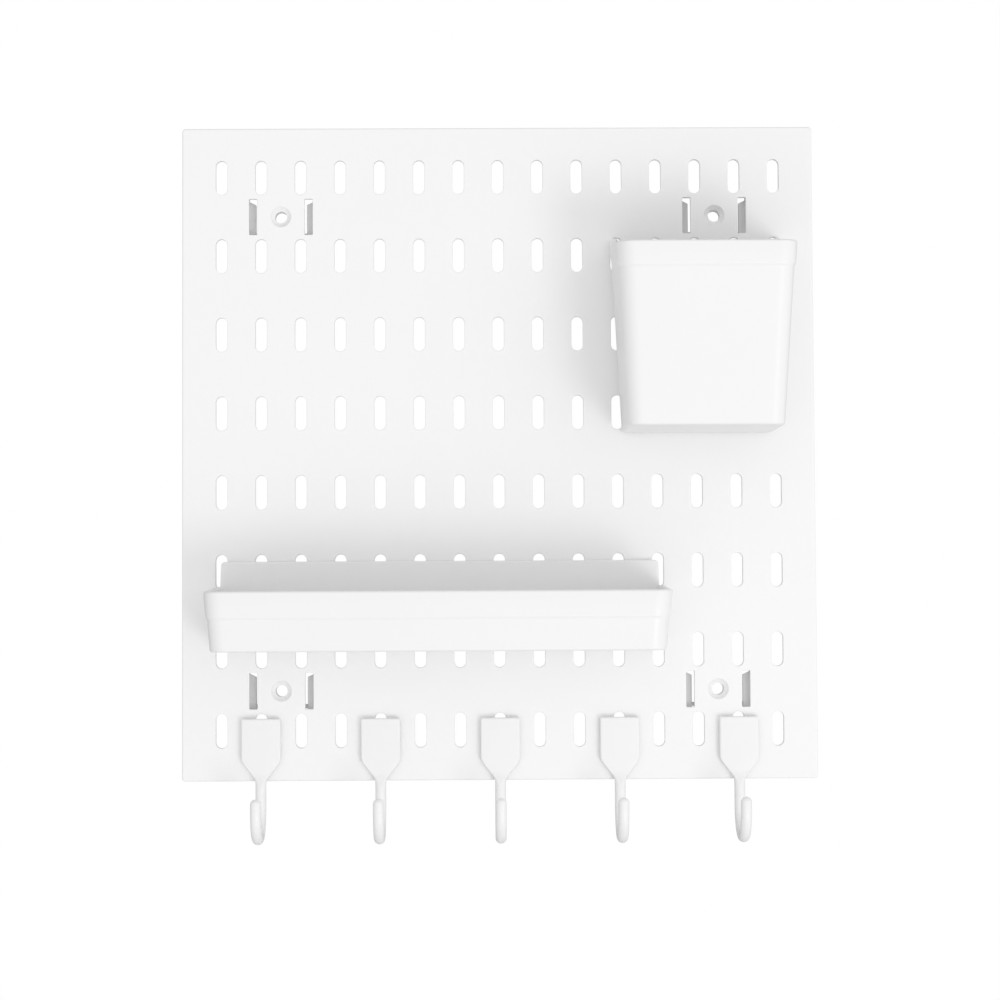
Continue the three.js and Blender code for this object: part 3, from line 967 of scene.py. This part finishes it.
def hook_stations(z_row):
    """(y, z, tilt, half width, half thickness, corner, edge highlight and polish weight) from the
    plate's top to the tip.
    """
    top = z_row + PLATE_ABOVE_ROW
    shoulder = z_row - HOOK_SHOULDER
    tip = z_row - HOOK_TIP
    rod_y = HANG_Y - ROD_RADIUS - 0.1
    plate_y = HANG_Y - PLATE_THICKNESS / 2
    half_t = PLATE_THICKNESS / 2
    edge = 0.7
    stations = []
    for inset, depth, highlight_and_polish in fillet(edge, 5):
        stations.append(
            (plate_y, top - depth, 0, PLATE_HALF - inset, half_t - inset, edge - inset * 0.9, highlight_and_polish)
        )
    for z in (top - edge - 0.6, z_row, shoulder + 1.4):
        stations.append((plate_y, z, 0, PLATE_HALF, half_t, edge, 0))
    taper = 34
    for i in range(taper + 1):
        z = shoulder + 0.9 + (tip - 6.0 - shoulder - 0.9) * i / taper
        narrowing = (shoulder - z) / (shoulder - tip)
        width = PLATE_HALF - (PLATE_HALF - ROD_RADIUS) * narrowing
        corner_in = PLATE_HALF - 0.5 * math.log1p(math.exp((PLATE_HALF - width) / 0.5))
        width = ROD_RADIUS + 0.45 * math.log1p(math.exp((corner_in - ROD_RADIUS) / 0.45))
        width = min(width, PLATE_HALF)
        share = smooth((tip + 3.2 - z) / 7.5)
        y = plate_y + (rod_y - plate_y) * share
        thick = half_t + (ROD_RADIUS - half_t) * share
        corner = edge + (ROD_RADIUS - edge) * share
        stations.append((y, z, 0, width, thick, corner, 0))
    bend_radius = HOOK_REACH / 2
    bend_z = z_row - HOOK_BOTTOM + ROD_RADIUS + bend_radius
    stem_top = stations[-1][1]
    for i in range(1, 4):
        z = stem_top + (bend_z - stem_top) * i / 3.2
        stations.append((rod_y, z, 0, ROD_RADIUS, ROD_RADIUS, ROD_RADIUS, 0))
    for i in range(41):
        angle = math.pi * i / 40
        y = rod_y - bend_radius + bend_radius * math.cos(angle)
        z = bend_z - bend_radius * math.sin(angle)
        stations.append((y, z, angle, ROD_RADIUS, ROD_RADIUS, ROD_RADIUS, 0))
    tip_y, tip_z = rod_y - HOOK_REACH, bend_z + TIP_ABOVE_BEND
    stations.append((tip_y, tip_z, math.pi, ROD_RADIUS, ROD_RADIUS, ROD_RADIUS, 0))
    for i in range(1, 9):
        angle = QUARTER * i / 8.4
        r = ROD_RADIUS * math.cos(angle)
        z = tip_z + ROD_RADIUS * math.sin(angle)
        stations.append((tip_y, z, math.pi, r, r, r, 0.5))
    return stations


def build_hook(number, column):
    shell = Shell()
    cx = column_x(column)
    rings = []
    for y, z, tilt, half_w, half_t, corner, highlight_and_polish in hook_stations(row_z(HOOK_ROW)):
        points = [
            (cx + u, y + v * math.cos(tilt), z - v * math.sin(tilt))
            for u, v in section(half_w, half_t, corner)
        ]
        rings.append((points, highlight_and_polish))
    first, last = shell.stack(rings)
    shell.cap(first[::-1])
    shell.cap(last)
    add_peg(shell, cx, HOOK_ROW)
    name = "hook_%d" % number
    hook = shell.object(name + "_moulding", ACCESSORY_PLASTIC)
    set_down(hook, name, "accessory_plastic", name)


# ---- stage, light and camera ----


FLOOR_RADIUS = 1.2
FLOOR_HEIGHT = -1.3


def build_stage():
    edit = bmesh.new()
    bmesh.ops.create_circle(edit, cap_ends=True, segments=96, radius=FLOOR_RADIUS)
    mesh = bpy.data.meshes.new("floor")
    edit.to_mesh(mesh)
    edit.free()
    floor = bpy.data.objects.new("floor", mesh)
    bpy.context.scene.collection.objects.link(floor)
    floor.location = (0, 0, FLOOR_HEIGHT)
    mesh.materials.append(plain_surface("floor_paint", (0.92, 0.92, 0.92)))


def area_light(name, place, aim, size, power):
    data = bpy.data.lights.new(name, "AREA")
    data.shape = "DISK"
    data.size = size
    data.energy = power
    light = bpy.data.objects.new(name, data)
    bpy.context.scene.collection.objects.link(light)
    light.location = place
    light.rotation_euler = (Vector(aim) - Vector(place)).to_track_quat("-Z", "Y").to_euler()


SURROUND_TOWARDS = (0.22, -0.82, -0.40)
SURROUND_MIDDLE = 0.72
SURROUND_SWING = 0.42


def build_light():
    """A white backdrop, and a surround that is brightest in front, to the right and low."""
    world = bpy.data.worlds.new("studio")
    world.use_nodes = True
    tree = world.node_tree
    backdrop = tree.nodes["Background"]
    surround = tree.nodes.new("ShaderNodeBackground")
    for node in (backdrop, surround):
        node.inputs["Color"].default_value = (1, 1, 1, 1)
    backdrop.inputs["Strength"].default_value = 1.0
    direction = tree.nodes.new("ShaderNodeTexCoord").outputs["Generated"]
    facing = tree.nodes.new("ShaderNodeVectorMath")
    facing.operation = "DOT_PRODUCT"
    tree.links.new(direction, facing.inputs[0])
    facing.inputs[1].default_value = Vector(SURROUND_TOWARDS).normalized()
    strength = tree.nodes.new("ShaderNodeMath")
    strength.operation = "MULTIPLY_ADD"
    tree.links.new(facing.outputs["Value"], strength.inputs[0])
    strength.inputs[1].default_value = SURROUND_SWING
    strength.inputs[2].default_value = SURROUND_MIDDLE
    tree.links.new(strength.outputs[0], surround.inputs["Strength"])
    seen = tree.nodes.new("ShaderNodeLightPath").outputs["Is Camera Ray"]
    blend = tree.nodes.new("ShaderNodeMixShader")
    tree.links.new(seen, blend.inputs[0])
    tree.links.new(surround.outputs[0], blend.inputs[1])
    tree.links.new(backdrop.outputs[0], blend.inputs[2])
    tree.links.new(blend.outputs[0], tree.nodes["World Output"].inputs["Surface"])
    bpy.context.scene.world = world
    area_light("key", (0.95, -1.85, -0.95), (0, 0, 0), 0.75, 7.6)
    bpy.context.scene.view_settings.view_transform = "Standard"


# metres, millimetres and radians
CAMERA_PLACE = (-0.00893, -1.04979, -0.0650)
CAMERA_TURN = (-0.0421, -0.0090, -0.0048)
CAMERA_LENS = 84.6
CAMERA_SENSOR = 36


def build_camera():
    """A camera that looks along +Y, turned a little about each axis."""
    data = bpy.data.cameras.new("camera")
    data.lens = CAMERA_LENS
    data.sensor_width = CAMERA_SENSOR
    camera = bpy.data.objects.new("camera", data)
    bpy.context.scene.collection.objects.link(camera)
    camera.location = CAMERA_PLACE
    turn = Euler(CAMERA_TURN, "XYZ").to_matrix()
    axes = Matrix(((1, 0, 0), (0, 0, -1), (0, 1, 0)))
    view = turn @ axes
    right, down, ahead = view[0], view[1], view[2]
    camera.rotation_euler = Matrix((right, -down, -ahead)).transposed().to_euler()
    bpy.context.scene.camera = camera


build_panel()
build_clips()
build_cup()
build_tray()
for number, column in enumerate(HOOK_COLUMNS, 1):
    build_hook(number, column)
build_stage()
build_light()
build_camera()
